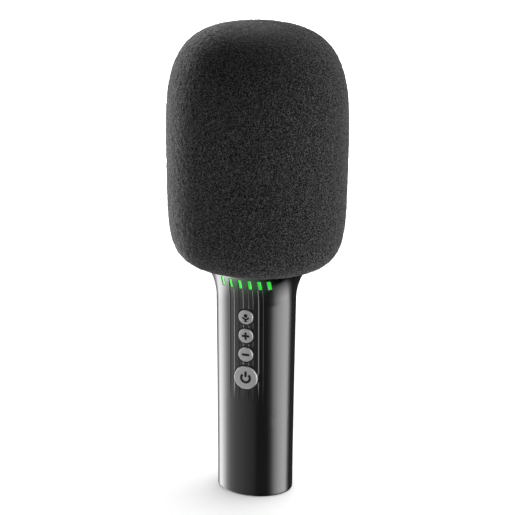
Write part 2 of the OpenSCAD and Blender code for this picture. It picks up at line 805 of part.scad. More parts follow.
// Magnet set in one piece: top plate, ring, back plate and pole
module speaker_magnet() color(dark_steel) about_y(speaker_z) {
    plate_back = basket_back + plate_t;
    magnet_back = plate_back + magnet_t;
    gap_r = coil_r + coil_gap;
    ring_r = gap_r + ring_step;
    rotate_extrude() polygon([
        [0, basket_back], [pole_r, basket_back], [pole_r, magnet_back], [ring_r, magnet_back],
        [ring_r, plate_back], [gap_r, plate_back], [gap_r, basket_back], [plate_r, basket_back],
        [plate_r, plate_back], [magnet_r, plate_back], [magnet_r, magnet_back], [plate_r, magnet_back],
        [plate_r, magnet_back + plate_t], [0, magnet_back + plate_t]
    ]);
}

// Surround: a half roll between the cone's rim and the frame's flange
module speaker_surround() color(rubber_black) about_y(speaker_z) {
    inner = cone_r + cone_gap;
    roll_r = (surround_r - inner) / 2;
    turn = [0 : 15 : 180];
    outside = [for (a = turn) [inner + roll_r - roll_r * cos(a), flange_front - roll_r * sin(a)]];
    hollow = [for (a = turn) [inner + roll_r + (roll_r - surround_t) * cos(a),
        flange_front - (roll_r - surround_t) * sin(a)]];
    rotate_extrude() polygon(concat(outside, hollow));
}

// Cone, and the coil and dust cap that move with it
module speaker_cone() color(paper_black) about_y(speaker_z) rotate_extrude() polygon([
    [cone_r, flange_front], [cone_r, flange_front + cone_t],
    [coil_r, flange_front + cone_depth + cone_t], [coil_r, flange_front + cone_depth]
]);

function dust_arch(inset) = concat([for (a = [0 : 10 : 90])
    [max((dust_r - inset) * cos(a), crown_flat / 2), dust_foot - (dust_h - inset) * sin(a)]],
    [[0, dust_foot - dust_h + inset]]);

module dust_cap() color(paper_black) about_y(speaker_z)
    rotate_extrude() polygon(concat(dust_arch(0), flip(dust_arch(coil_t))));

module voice_coil() color(coil_copper) about_y(speaker_z) rotate_extrude()
    translate([coil_r - coil_t, flange_front + cone_depth]) square([coil_t, coil_l]);

// Foam windscreen: squarish round outside, with a cavity that fits over the cage
module foam_windscreen() color(foam_charcoal) difference() {
    foot = [for (i = [0 : screen_steps]) let (s = square_round(foot_end * i / screen_steps, foot_power))
        [screen_r * s[0], widest_z - foot_h * s[1]]];
    crown = [for (i = [0 : screen_steps]) let (s = square_round(90 * i / screen_steps, crown_power))
        [max(screen_r * s[0], crown_flat), widest_z + crown_h * s[1]]];
    oval_turn(screen_ratio) polygon(concat([[0, seat_z]], flip(foot), crown, [[0, seat_z + screen_h]]));
    dome(-screen_fit, seat_z - cut);
}

front_shell();
rear_shell();
base_cap();
base_screws();
light_guide();
lamp_board();
lamps();
voice_button();
plus_button();
minus_button();
power_button();
voice_plunger();
plus_plunger();
minus_plunger();
power_plunger();
voice_switch();
plus_switch();
minus_switch();
power_switch();
main_board();
board_screws();
board_parts();
charging_socket();
cell();
head_collar();
collar_screws();
head_cage();
cage_cap();
capsule();
capsule_boot();
speaker_baffle();
speaker_gasket();
speaker_frame();
speaker_magnet();
speaker_surround();
speaker_cone();
dust_cap();
voice_coil();
foam_windscreen();
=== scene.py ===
import json
import math

import bpy
import numpy as np
from mathutils import Matrix, Vector


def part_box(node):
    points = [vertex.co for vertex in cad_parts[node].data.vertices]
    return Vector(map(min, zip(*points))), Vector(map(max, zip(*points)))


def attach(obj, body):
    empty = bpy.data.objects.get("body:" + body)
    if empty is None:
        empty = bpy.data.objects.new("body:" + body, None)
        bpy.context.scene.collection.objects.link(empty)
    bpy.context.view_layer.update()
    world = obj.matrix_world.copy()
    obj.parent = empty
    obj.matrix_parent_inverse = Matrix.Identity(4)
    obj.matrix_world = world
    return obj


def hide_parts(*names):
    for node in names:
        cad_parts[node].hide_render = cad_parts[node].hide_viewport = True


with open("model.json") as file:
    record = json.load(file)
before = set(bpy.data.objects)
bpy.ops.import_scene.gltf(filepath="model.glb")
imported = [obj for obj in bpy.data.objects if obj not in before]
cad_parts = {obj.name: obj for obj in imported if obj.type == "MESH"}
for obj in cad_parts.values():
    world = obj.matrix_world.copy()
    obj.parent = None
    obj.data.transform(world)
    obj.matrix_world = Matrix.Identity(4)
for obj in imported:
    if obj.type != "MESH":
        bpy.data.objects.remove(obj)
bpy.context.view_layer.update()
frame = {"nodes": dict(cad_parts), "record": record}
nodes = frame["nodes"]
scene = bpy.context.scene
scene.view_settings.view_transform = "Standard"
MM = 0.001
SLOT_Z = (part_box("light_guide")[0].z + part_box("light_guide")[1].z) / 2


# Materials: short calls for nodes, and a Principled shader that they feed

def grey(colour):
    if isinstance(colour, (int, float)):
        return (colour, colour, colour, 1)
    return (*colour, 1)


class Nodes:
    """Adds nodes to a tree. An input is a value, or a socket to link."""

    def __init__(self, tree):
        self.tree = tree

    def add(self, kind, inputs=(), **settings):
        node = self.tree.nodes.new("ShaderNode" + kind)
        for key, value in settings.items():
            setattr(node, key, value)
        for key, value in dict(inputs).items():
            self.feed(node.inputs[key], value)
        return node

    def feed(self, socket, value):
        if isinstance(value, bpy.types.NodeSocket):
            self.tree.links.new(value, socket)
        else:
            socket.default_value = value

    def math(self, operation, a, b=0.0):
        return self.add("Math", {0: a, 1: b}, operation=operation).outputs[0]

    def times(self, a, b):
        return self.math("MULTIPLY", a, b)

    def span(self, value, low, high):
        """A value from 0 to 1, spread from low to high."""
        inputs = {"Value": value, "To Min": low, "To Max": high}
        return self.add("MapRange", inputs).outputs[0]

    def share(self, value, start, end):
        """How far a value has come from start to end, from 0 to 1."""
        inputs = {"Value": value, "From Min": start, "From Max": end}
        return self.add("MapRange", inputs).outputs[0]

    def ramp(self, value, *stops):
        node = self.add("ValToRGB", {"Fac": value})
        ends = node.color_ramp.elements
        while len(ends) < len(stops):
            ends.new(0.5)
        for end, (spot, colour) in zip(ends, stops):
            end.position = spot
            end.color = grey(colour)
        return node.outputs["Color"]


class Look(Nodes):
    """A Principled material, with textures laid out in object space."""

    def __init__(self, name, **sockets):
        self.material = bpy.data.materials.new(name)
        self.material.use_nodes = True
        super().__init__(self.material.node_tree)
        self.shader = self.tree.nodes["Principled BSDF"]
        self.places = {}
        self.set(**sockets)

    def set(self, **sockets):
        for key, value in sockets.items():
            self.shader.inputs[key.replace("_", " ")].default_value = value

    def drive(self, name, value):
        self.tree.links.new(value, self.shader.inputs[name])

    def place(self, stretch=(1, 1, 1)):
        if stretch not in self.places:
            spot = self.add("TexCoord").outputs["Object"]
            if stretch != (1, 1, 1):
                spot = self.add("Mapping", {"Vector": spot, "Scale": stretch}).outputs[0]
            self.places[stretch] = spot
        return self.places[stretch]

    def noise(self, size, detail=3.0, rough=0.5, stretch=(1, 1, 1)):
        inputs = {"Vector": self.place(stretch), "Scale": 1 / size,
                  "Detail": detail, "Roughness": rough}
        return self.add("TexNoise", inputs).outputs[0]

    def cells(self, size, feature="F1"):
        inputs = {"Vector": self.place(), "Scale": 1 / size}
        return self.add("TexVoronoi", inputs, feature=feature).outputs["Distance"]

    def bump(self, height, depth, strength=1.0, under=None):
        inputs = {"Height": height, "Distance": depth, "Strength": strength}
        if under is not None:
            inputs["Normal"] = under
        return self.add("Bump", inputs).outputs[0]


# Painted green glow on the gloss round the slots, an emission of the shell
# that stands in for light from the guides: its reach up and to the side, how far
# ahead of the middle it starts, and its colour
SPILL_RISE, SPILL_SIDE, SPILL_FRONT = 3.6 * MM, 10.5 * MM, 6 * MM
PAINTED_SPILL_GREEN = (0.012, 0.06, 0.018)


def gloss_black():
    look = Look("gloss_black", IOR=1.5)
    smudge = look.noise(14 * MM, 4)
    look.drive("Base Color", look.ramp(look.noise(30 * MM), (0.3, 0.0035), (0.7, 0.006)))
    look.drive("Roughness", look.span(smudge, 0.05, 0.11))
    look.drive("Normal", look.bump(look.noise(2.2 * MM, 2), 0.004 * MM, 0.3))
    spot = look.add("SeparateXYZ", {0: look.place()}).outputs
    rise = look.times(look.math("SUBTRACT", spot["Z"], SLOT_Z), 1 / SPILL_RISE)
    side = look.math("ABSOLUTE", look.times(spot["X"], 1 / SPILL_SIDE))
    reach = look.math("ADD", look.times(rise, rise), look.math("POWER", side, 4.0))
    painted_spill = look.math("EXPONENT", look.times(reach, -1.0))
    painted_spill = look.times(painted_spill, look.math("LESS_THAN", spot["Y"], -SPILL_FRONT))
    # Painted light: the shell glows green near the slots
    look.drive("Emission Color", look.ramp(painted_spill, (0.0, 0.0), (1.0, PAINTED_SPILL_GREEN)))
    look.set(Emission_Strength=1.0)
    return look.material


def key_grey():
    look = Look("key_grey", Metallic=0.6, IOR=1.5)
    grain = look.noise(0.25 * MM, 4, 0.6)
    tones = look.ramp(grain, (0.3, (0.36, 0.36, 0.365)), (0.75, (0.45, 0.45, 0.455)))
    look.drive("Base Color", tones)
    look.drive("Roughness", look.span(look.noise(3 * MM), 0.42, 0.52))
    look.drive("Normal", look.bump(grain, 0.008 * MM, 0.4))
    return look.material


def edge_black():
    look = Look("edge_black", IOR=1.45)
    grain = look.noise(0.6 * MM, 3)
    look.drive("Base Color", look.ramp(grain, (0.3, 0.004), (0.7, 0.007)))
    look.drive("Roughness", look.span(grain, 0.24, 0.34))
    return look.material


# Matte black for the printed signs, and for the bore rings, where it is painted shade
def ink_and_shade_black():
    look = Look("ink_and_shade_black", IOR=1.3)
    grain = look.noise(0.2 * MM, 3)
    look.drive("Base Color", look.ramp(grain, (0.3, 0.002), (0.8, 0.006)))
    look.drive("Roughness", look.span(grain, 0.7, 0.9))
    return look.material


def lit_green():
    look = Look("lit_green", IOR=1.5, Roughness=0.3, Emission_Strength=1.05)
    glow = look.noise(2.5 * MM, 2)
    paint = look.ramp(glow, (0.3, (0.004, 0.2, 0.012)), (0.7, (0.008, 0.3, 0.02)))
    light = look.ramp(glow, (0.3, (0.0, 0.56, 0.008)), (0.7, (0.002, 0.78, 0.018)))
    look.drive("Base Color", paint)
    look.drive("Emission Color", light)
    return look.material


def foam_look():
    look = Look("foam", Roughness=1.0, IOR=1.15, Sheen_Weight=0.18, Sheen_Roughness=0.5)
    pores = look.cells(0.75 * MM)
    fibre = look.noise(0.52 * MM, 1, 0.6)
    look.drive("Base Color", look.ramp(fibre, (0.37, 0.002), (0.5, 0.037), (0.63, 0.175)))
    hollow = look.bump(pores, 0.2 * MM, 0.6)
    look.drive("Normal", look.bump(fibre, 0.2 * MM, 0.6, hollow))
    return look.material


def inner_plastic():
    look = Look("inner_plastic", IOR=1.48)
    grain = look.noise(0.35 * MM, 4, 0.6)
    look.drive("Base Color", look.ramp(look.noise(6 * MM), (0.3, 0.012), (0.7, 0.02)))
    look.drive("Roughness", look.span(grain, 0.45, 0.65))
    look.drive("Normal", look.bump(grain, 0.03 * MM, 0.6))
    return look.material


def metal(name, colour, low, high, grain, stretch=(1, 1, 1)):
    look = Look(name, Metallic=1.0)
    brush = look.noise(grain, 4, 0.6, stretch)
    darker = tuple(0.82 * c for c in colour)
    look.drive("Base Color", look.ramp(brush, (0.3, darker), (0.7, colour)))
    look.drive("Roughness", look.span(brush, low, high))
    look.drive("Normal", look.bump(brush, 0.01 * MM, 0.4))
    return look.material


def soft_black(name, low, high, grain, depth):
    look = Look(name, IOR=1.45)
    speck = look.noise(grain, 4, 0.6)
    look.drive("Base Color", look.ramp(speck, (0.3, low), (0.7, high)))
    look.drive("Roughness", look.span(speck, 0.6, 0.85))
    look.drive("Normal", look.bump(speck, depth, 0.5))
    return look.material


def board_green():
    look = Look("board_green", IOR=1.5)
    tracks = look.cells(2.2 * MM, "DISTANCE_TO_EDGE")
    mask = look.ramp(tracks, (0.04, (0.01, 0.14, 0.06)), (0.09, (0.006, 0.07, 0.03)))
    look.drive("Base Color", mask)
    look.drive("Roughness", look.span(look.noise(1 * MM), 0.25, 0.4))
    look.drive("Normal", look.bump(tracks, 0.03 * MM, 0.4))
    return look.material


def lamp_white():
    look = Look("lamp_white", IOR=1.5)
    spot = look.noise(0.6 * MM)
    tones = look.ramp(spot, (0.3, (0.75, 0.68, 0.35)), (0.7, (0.8, 0.78, 0.6)))
    look.drive("Base Color", tones)
    look.drive("Roughness", look.span(spot, 0.3, 0.5))
    return look.material


def cell_wrap():
    look = Look("cell_wrap", IOR=1.5)
    crease = look.noise(5 * MM, 3, 0.5, (1, 1, 0.2))
    tones = look.ramp(crease, (0.3, (0.02, 0.09, 0.24)), (0.7, (0.03, 0.13, 0.32)))
    look.drive("Base Color", tones)
    look.drive("Roughness", look.span(crease, 0.2, 0.35))
    look.drive("Normal", look.bump(crease, 0.08 * MM, 0.4))
    return look.material


LOOKS = {
    "shell": gloss_black(),
    "key": key_grey(),
    "light": lit_green(),
    "foam": foam_look(),
    "inner_plastic": inner_plastic(),
    "board": board_green(),
    "chip": soft_black("chip_black", 0.008, 0.016, 0.5 * MM, 0.02 * MM),
    "lamp": lamp_white(),
    "steel": metal("steel", (0.62, 0.63, 0.64), 0.25, 0.4, 0.4 * MM),
    "alloy": metal("alloy", (0.72, 0.72, 0.73), 0.25, 0.4, 0.3 * MM),
    "dark_steel": metal("dark_steel", (0.16, 0.16, 0.165), 0.3, 0.5, 0.5 * MM),
    "cell_wrap": cell_wrap(),
    "rubber": soft_black("rubber", 0.008, 0.016, 0.4 * MM, 0.03 * MM),
    "paper": soft_black("paper", 0.012, 0.03, 0.3 * MM, 0.08 * MM),
    "copper": metal("copper", (0.72, 0.36, 0.18), 0.25, 0.4, 0.25 * MM, (0.2, 1, 0.2)),
}
INK_AND_SHADE = ink_and_shade_black()
EDGE = edge_black()


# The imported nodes: smooth faces, crisp edges, and their slot's look

WELD_REACH = 1e-6
CRISP_ANGLE = math.radians(32)


def dress(node, material):
    mesh = node.data
    if "custom_normal" in mesh.attributes:
        mesh.attributes.remove(mesh.attributes["custom_normal"])
    mesh.polygons.foreach_set("use_smooth", [True] * len(mesh.polygons))
    mesh.materials.clear()
    mesh.materials.append(material)
    weld = node.modifiers.new("weld", "WELD")
    weld.merge_threshold = WELD_REACH
    split = node.modifiers.new("crisp", "EDGE_SPLIT")
    split.split_angle = CRISP_ANGLE
    split.use_edge_sharp = False


slot_of = {row["node"]: row["material_slot"] for row in frame["record"]["subparts"]}
for name, node in nodes.items():
    dress(node, LOOKS[slot_of[name]])


def mesh_piece(name, points, faces, material, body, smooth=True):
    mesh = bpy.data.meshes.new(name)
    mesh.from_pydata([tuple(p) for p in points], [], faces)
    mesh.validate()
    mesh.polygons.foreach_set("use_smooth", [smooth] * len(mesh.polygons))
    mesh.materials.append(material)
    piece = bpy.data.objects.new(name, mesh)
    scene.collection.objects.link(piece)
    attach(piece, body)
    return piece


# Foam windscreen: unevenness that depends on place alone

def scatter(x, y, z, seed):
    """A number from 0 to 1 for each whole-numbered place."""
    mix = (x * 374761393 + y * 668265263 + z * 1440662683 + seed * 974711) & 0xFFFFFFFF
    mix = ((mix ^ (mix >> 13)) * 1274126177) & 0xFFFFFFFF
    mix = ((mix ^ (mix >> 15)) * 2246822519) & 0xFFFFFFFF
    return ((mix ^ (mix >> 16)) & 0xFFFFFF) / float(0x1000000)


def lumps(points, size, seed):
    """Smooth swellings, from 0 to 1."""
    p = points / size
    cell = np.floor(p).astype(np.int64)
    f = p - cell
    f = f * f * (3 - 2 * f)
    total = np.zeros(len(p))
    for dx in (0, 1):
        for dy in (0, 1):
            for dz in (0, 1):
                w = (np.where(dx, f[:, 0], 1 - f[:, 0])
                     * np.where(dy, f[:, 1], 1 - f[:, 1])
                     * np.where(dz, f[:, 2], 1 - f[:, 2]))
                total += w * scatter(cell[:, 0] + dx, cell[:, 1] + dy, cell[:, 2] + dz, seed)
    return total


def pits(points, size, seed):
    """The distance to the nearest pit, in pit sizes."""
    p = points / size
    cell = np.floor(p).astype(np.int64)
    best = np.full(len(p), 9.0)
    for dx in (-1, 0, 1):
        for dy in (-1, 0, 1):
            for dz in (-1, 0, 1):
                c = cell + (dx, dy, dz)
                spot = np.stack([c[:, k] + scatter(c[:, 0], c[:, 1], c[:, 2], seed + k)
                                 for k in range(3)], 1)
                best = np.minimum(best, np.linalg.norm(p - spot, axis=1))
    return best


def even(path, step):
    """The path with points at even steps."""
    path = np.array(path)
    run = np.concatenate([[0], np.cumsum(np.linalg.norm(np.diff(path, axis=0), axis=1))])
    spots = np.linspace(0, run[-1], max(2, int(run[-1] / step) + 1))
    return np.stack([np.interp(spots, run, path[:, k]) for k in range(2)], 1)


foam_low, foam_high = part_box("foam_windscreen")
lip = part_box("front_shell")[1]
cage_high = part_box("cage_cap")[1]
FOAM_R = foam_high.x
FOAM_TOP = foam_high.z
FOAM_SEAT = foam_low.z
WIDEST = FOAM_SEAT + 57 * MM
# Depth over width: of the foam, of its foot, and the height over which the foot fills out
FOAM_RATIO = foam_high.y / foam_high.x
FOOT_RATIO, FOOT_FILL = 0.86, 3 * MM
# How square the curves are below and above the widest ring, and how much the foot tapers
FOOT_POWER, FOOT_TAPER, CROWN_POWER = 6.0, 0.02, 3.36
FOOT_POINTS, CROWN_POINTS, DOME_POINTS = 500, 900, 40
CAVITY_GAP = 0.4 * MM
CAVITY_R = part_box("head_cage")[1].x + CAVITY_GAP
CAVITY_TOP = cage_high.z + CAVITY_GAP
CAVITY_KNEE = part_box("head_cage")[1].z
# Unevenness of the skin: size and seed of each kind, and its depth in millimetres
PITS, PIT_DEPTH = (1.3 * MM, 3), 0.34
SPECKS, SPECK_DEPTH = (0.8 * MM, 11), 0.36
SWELLS, SWELL_DEPTH = (14 * MM, 5), 0.10
SKIN_FADE = 1.5 * MM
SKIN_STEP, SKIN_COLUMNS = ((0.66 * MM, 384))
BORE_STEP = 2.0 * MM
LEAST_COLUMNS = 12


def ease(value, low, high):
    t = min(max((value - low) / (high - low), 0), 1)
    return t * t * (3 - 2 * t)


def foam_ratio(z):
    """Near the lip's oval at the seat, and fuller just above it."""
    return FOOT_RATIO + (FOAM_RATIO - FOOT_RATIO) * ease(z, FOAM_SEAT, FOAM_SEAT + FOOT_FILL)


def foam_paths():
    """The outside and the bore, each from the seat up to its top, as (radius, height)."""
    drop = WIDEST - FOAM_SEAT
    foot_r = lip.x / (1 - FOOT_TAPER)
    foot_h = drop / (1 - (foot_r / FOAM_R) ** FOOT_POWER) ** (1 / FOOT_POWER)
    end = math.asin((drop / foot_h) ** (FOOT_POWER / 2))
    foot = []
    for a in np.linspace(end, 0, FOOT_POINTS):
        down = foot_h * math.sin(a) ** (2 / FOOT_POWER)
        r = FOAM_R * math.cos(a) ** (2 / FOOT_POWER) * (1 - FOOT_TAPER * down / drop)
        foot.append((r, WIDEST - down))
    crown = []
    for a in np.linspace(0, math.pi / 2, CROWN_POINTS):
        up = (FOAM_TOP - WIDEST) * math.sin(a) ** (2 / CROWN_POWER)
        crown.append((FOAM_R * max(math.cos(a), 0) ** (2 / CROWN_POWER), WIDEST + up))
    outside = foot + crown[1:]
    bore = [(CAVITY_R, FOAM_SEAT), (CAVITY_R, CAVITY_KNEE)]
    dome = [(CAVITY_R * math.cos(a), CAVITY_KNEE + (CAVITY_TOP - CAVITY_KNEE) * math.sin(a))
            for a in np.linspace(0, math.pi / 2, DOME_POINTS)]
    return outside, bore + dome[1:]


class Turned:
    """Rings about the Z axis, with fewer columns where they get small."""

    def __init__(self, ratio):
        self.ratio = ratio      # depth over width, at a height
        self.points = []
        self.faces = []
        self.last = None

    def ring(self, r, z, columns):
        start = len(self.points)
        for k in range(columns):
            a = 2 * math.pi * k / columns
            self.points.append((r * math.cos(a), self.ratio(z) * r * math.sin(a), z))
        self.join((start, columns))

    def join(self, new):
        old, self.last = self.last, new
        if old is None:
            return
        (a, n), (b, m) = old, new
        for k in range(m):
            if n == m:
                self.faces.append((a + k, a + (k + 1) % n, b + (k + 1) % m, b + k))
            else:
                f0, f1, f2 = a + 2 * k, a + 2 * k + 1, a + (2 * k + 2) % n
                c0, c1 = b + k, b + (k + 1) % m
                self.faces.extend([(f0, f1, c0), (f1, c1, c0), (f1, f2, c1)])

    def tip(self, z):
        a, n = self.last
        top = len(self.points)
        self.points.append((0, 0, z))
        self.faces.extend((a + k, a + (k + 1) % n, top) for k in range(n))


def turned(path, ratio, columns, step):
    body = Turned(ratio)
    rows = even(path, step)
    small, narrow = 0.55 * max(rows[:, 0]), 0.55 * step
    for r, z in rows[:-1]:
        while columns > LEAST_COLUMNS and r < small and 2 * math.pi * r / columns < narrow:
            columns //= 2
        body.ring(r, z, columns)
    body.tip(rows[-1][1])
    return np.array(body.points), body.faces


def normals_of(points, faces):
    out = np.zeros_like(points)
    for face in faces:
        p = points[list(face)]
        n = np.cross(p[1] - p[0], p[2] - p[0])
        for k in face:
            out[k] += n
    return out / np.maximum(np.linalg.norm(out, axis=1), 1e-12)[:, None]


def build_foam():
    outside, inside = foam_paths()
    skin, skin_faces = turned(outside, foam_ratio, SKIN_COLUMNS, SKIN_STEP)
    out = normals_of(skin, skin_faces)
    grain = PIT_DEPTH * (pits(skin, *PITS) - 0.5) + SPECK_DEPTH * (lumps(skin, *SPECKS) - 0.5)
    swell = SWELL_DEPTH * (lumps(skin, *SWELLS) - 0.5)
    fade = np.clip((skin[:, 2] - FOAM_SEAT) / SKIN_FADE, 0, 1)
    skin = skin + out * ((grain + swell) * MM * fade)[:, None]
    narrow = SKIN_COLUMNS // 4
    bore, bore_faces = turned(inside, lambda z: 1.0, narrow, BORE_STEP)
    start = len(skin)
    faces = list(skin_faces) + [tuple(start + k for k in reversed(f)) for f in bore_faces]
    # The seat joins the outside to the bore, four columns to one
    for k in range(narrow):
        c0, c1 = start + k, start + (k + 1) % narrow
        f = [(4 * k + j) % SKIN_COLUMNS for j in range(5)]
        faces.extend([(f[1], f[0], c0), (f[2], f[1], c0), (f[2], c0, c1),
                      (f[3], f[2], c1), (f[4], f[3], c1)])
    points = np.concatenate([skin, bore])
    foam = mesh_piece("windscreen_foam", points, faces, LOOKS["foam"], "windscreen")
    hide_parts("foam_windscreen")


build_foam()


# Signs on the buttons: thin prints that lie on the caps

SIGN_SINK, SIGN_RISE = 0.004 * MM, 0.03 * MM


def prism(outline, y0, y1):
    """A flat outline of (x, z), as a closed plate between two depths."""
    n = len(outline)
    points = [(x, y0, z) for x, z in outline] + [(x, y1, z) for x, z in outline]
    faces = [tuple(range(n)), tuple(range(2 * n - 1, n - 1, -1))]
    faces += [(k, n + k, n + (k + 1) % n, (k + 1) % n) for k in range(n)]
    return points, faces


def bar(x0, z0, x1, z1, w, steps=8):
    """A stroke with round ends, in millimetres from the button's middle."""
    d = math.atan2(z1 - z0, x1 - x0)
    turn = np.linspace(-math.pi / 2, math.pi / 2, steps)
    out = [(x1 + w / 2 * math.cos(d + a), z1 + w / 2 * math.sin(d + a)) for a in turn]
    return out + [(x0 - w / 2 * math.cos(d + a), z0 - w / 2 * math.sin(d + a)) for a in turn]


def arc(x, z, r, w, low, high, steps):
    """A curved stroke between two angles, with square ends."""
    a = np.radians(np.linspace(low, high, steps))
    outer = [(x + (r + w / 2) * math.cos(t), z + (r + w / 2) * math.sin(t)) for t in a]
    return outer + [(x + (r - w / 2) * math.cos(t), z + (r - w / 2) * math.sin(t))
                    for t in a[::-1]]


def sign(name, key, strokes):
    low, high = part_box(key + "_button")
    cx, cz = (low.x + high.x) / 2, (low.z + high.z) / 2
    points, faces = [], []
    for stroke in strokes:
        outline = [(cx + x * MM, cz + z * MM) for x, z in stroke]
        p, f = prism(outline, low.y - SIGN_RISE, low.y + SIGN_SINK)
        faces += [tuple(len(points) + k for k in face) for face in f]
        points += p
    mesh_piece(name, points, faces, INK_AND_SHADE, key + "_key", smooth=False)


sign("plus_sign", "plus", [
    bar(-1.3, 0, 1.3, 0, 1.2),
    bar(0, 1.2, 0, 1.3, 1.2),
    bar(0, -1.2, 0, -1.3, 1.2),
])
sign("minus_sign", "minus", [bar(-1.35, 0, 1.35, 0, 1.2)])
sign("power_sign", "power", [
    arc(0, -0.05, 2.12, 1.2, 132, 408, 48),
    bar(0, 0.9, 0, 2.75, 1.15),
])
sign("voice_sign", "voice", [
    bar(0, 0.7, 0, 0.8, 1.8, 12),
    arc(0, 0.65, 1.62, 0.8, 202, 338, 26),
    bar(0, -1.5, 0, -1.4, 0.75),
    bar(-0.6, -1.98, 0.6, -1.98, 0.6),
])


# Groove walls, slot rims and bore edges: slopes that soften the square cuts. The bore edges
# are matte black bands, painted shade of the gap round each key

SHELL_RATIO = 0.82
GRIP_R, NECK_R, GRIP_POWER = 18.15 * MM, 19.05 * MM, 1.5
FLARE_Z, FLARE_R = 96 * MM, 28 * MM
GROOVE_W, GROOVE_D = 2.4 * MM, 0.3 * MM
GROOVE_Z, GROOVE_FADE = 45 * MM, 14 * MM
SLOT_W, SLOT_L, SLOT_LEAN = 1.8 * MM, 5.2 * MM, math.radians(3)
SLOT_CORNER = SLOT_W / 5
SLOT_COUNT, SLOT_STEP = 6, math.radians(12.5)
LIGHT_RECESS = 0.35 * MM
BUTTON_GAP = 0.25 * MM
KEY_R = {"voice": 3.5 * MM, "plus": 3.5 * MM, "minus": 3.5 * MM, "power": 5.65 * MM}
# What the slopes keep from the skin and from the light, so that no two faces meet
SKIN_SINK = 0.01 * MM
# Groove walls: width of the slope, where it starts and ends, and its shortest stretch
SLOPE_W, SLOPE_START, SLOPE_END, SLOPE_LEAST = 0.36 * MM, 3.2 * MM, 0.1 * MM, 0.2 * MM
SLOPE_LIFT, SLOPE_ROOT = 0.008 * MM, 0.05 * MM
# Slot rims: width and depth of the slope
RIM_W, RIM_D = 0.3 * MM, 0.2 * MM
# Bore edges, dark bands of painted shade: their section, as steps out from the bore and up
# from the skin
RING_W, RING_STEPS = 0.4 * MM, 64
RING_SECTION = ((RING_W, 0.002 * MM), (0, 0.012 * MM), (0, -0.2 * MM), (RING_W, -0.05 * MM))


def skin_r(z, inset=0.0):
    if z < FLARE_Z:
        return GRIP_R + (NECK_R - GRIP_R) * (z / FLARE_Z) ** GRIP_POWER - inset
    return NECK_R + FLARE_R - math.sqrt((FLARE_R + inset) ** 2 - (z - FLARE_Z) ** 2)


def skin_y(x, z, inset=0.0):
    return -SHELL_RATIO * math.sqrt(skin_r(z, inset) ** 2 - x * x)


def slot_x(i):
    return skin_r(SLOT_Z) * math.sin((i - (SLOT_COUNT - 1) / 2) * SLOT_STEP)


def key_z(key):
    low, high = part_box(key + "_button")
    return (low.z + high.z) / 2


KEY_Z = {key: key_z(key) for key in KEY_R}


def clear_runs(x, low, high):
    """The stretches of a groove's wall, at x from the middle, that miss the button bores."""
    runs = [(low, high)]
    for key, face_r in KEY_R.items():
        bore_r = face_r + BUTTON_GAP + RING_W / 2
        if x < bore_r:
            half = math.sqrt(bore_r ** 2 - x ** 2)
            under, over = KEY_Z[key] - half, KEY_Z[key] + half
            cuts = [((a, min(b, under)), (max(a, over), b)) for a, b in runs]
            runs = [run for pair in cuts for run in pair if run[1] > run[0] + SLOPE_LEAST]
    return runs


def groove_slopes():
    points, faces = [], []
    low = GROOVE_Z + SLOPE_START
    high = SLOT_Z - SLOT_L / 2 - SLOPE_END

    def wedge(wall, floor, rows):
        start = len(points)
        for z in rows:
            depth = GROOVE_D * min((z - low) / (GROOVE_Z + GROOVE_FADE - low), 1)
            points.append((wall, skin_y(wall, z, SKIN_SINK), z))
            points.append((floor, skin_y(floor, z, depth - SLOPE_LIFT), z))
            points.append((wall, skin_y(wall, z, depth + SLOPE_ROOT), z))
        end = start + 3 * (len(rows) - 1)
        sides = [(start, start + 2, start + 1), (end, end + 1, end + 2)]
        for a in range(start, end, 3):
            sides += [(a + j, a + (j + 1) % 3, a + 3 + (j + 1) % 3, a + 3 + j)
                      for j in range(3)]
        faces.extend(side if floor > wall else side[::-1] for side in sides)

    for i in range(1, SLOT_COUNT - 1):
        for side in (-1, 1):
            wall = slot_x(i) + side * GROOVE_W / 2
            floor = wall - side * SLOPE_W
            for a, b in clear_runs(min(abs(wall), abs(floor)), low, high):
                wedge(wall, floor, np.linspace(a, b, int((b - a) / MM) + 2))
    mesh_piece("groove_slopes", points, faces, EDGE, "handle", smooth=False)


def round_outline(w, l, r, steps=5):
    """An oblong with round corners, about its middle."""
    out = []
    x, z = w / 2 - r, l / 2 - r
    for cx, cz, first in ((x, z, 0), (-x, z, 90), (-x, -z, 180), (x, -z, 270)):
        for a in np.radians(np.linspace(first, first + 90, steps)):
            out.append((cx + r * math.cos(a), cz + r * math.sin(a)))
    return out


def loop_faces(start, n):
    """The faces of a closed loop of n sections with four points each."""
    faces = []
    for k in range(n):
        a, b = start + 4 * k, start + 4 * ((k + 1) % n)
        faces += [(a + j, b + j, b + (j + 1) % 4, a + (j + 1) % 4) for j in range(4)]
    return faces


def slot_rims():
    points, faces = [], []
    outer = round_outline(SLOT_W, SLOT_L, SLOT_CORNER)
    inner = round_outline(SLOT_W - 2 * RIM_W, SLOT_L - 2 * RIM_W, SLOT_CORNER - RIM_W / 2)
    lean_x, lean_z = math.cos(SLOT_LEAN), math.sin(SLOT_LEAN)
    root = LIGHT_RECESS - SKIN_SINK
    for i in range(SLOT_COUNT):
        faces += loop_faces(len(points), len(outer))
        for pair in zip(outer, inner):
            (x0, z0), (x1, z1) = [(slot_x(i) + x * lean_x - z * lean_z,
                                   SLOT_Z + z * lean_x + x * lean_z) for x, z in pair]
            points.append((x0, skin_y(x0, z0, SKIN_SINK), z0))
            points.append((x1, skin_y(x1, z1, RIM_D), z1))
            points.append((x1, skin_y(x1, z1, root), z1))
            points.append((x0, skin_y(x0, z0, root), z0))
    mesh_piece("slot_rims", points, faces, LOOKS["shell"], "handle", smooth=False)


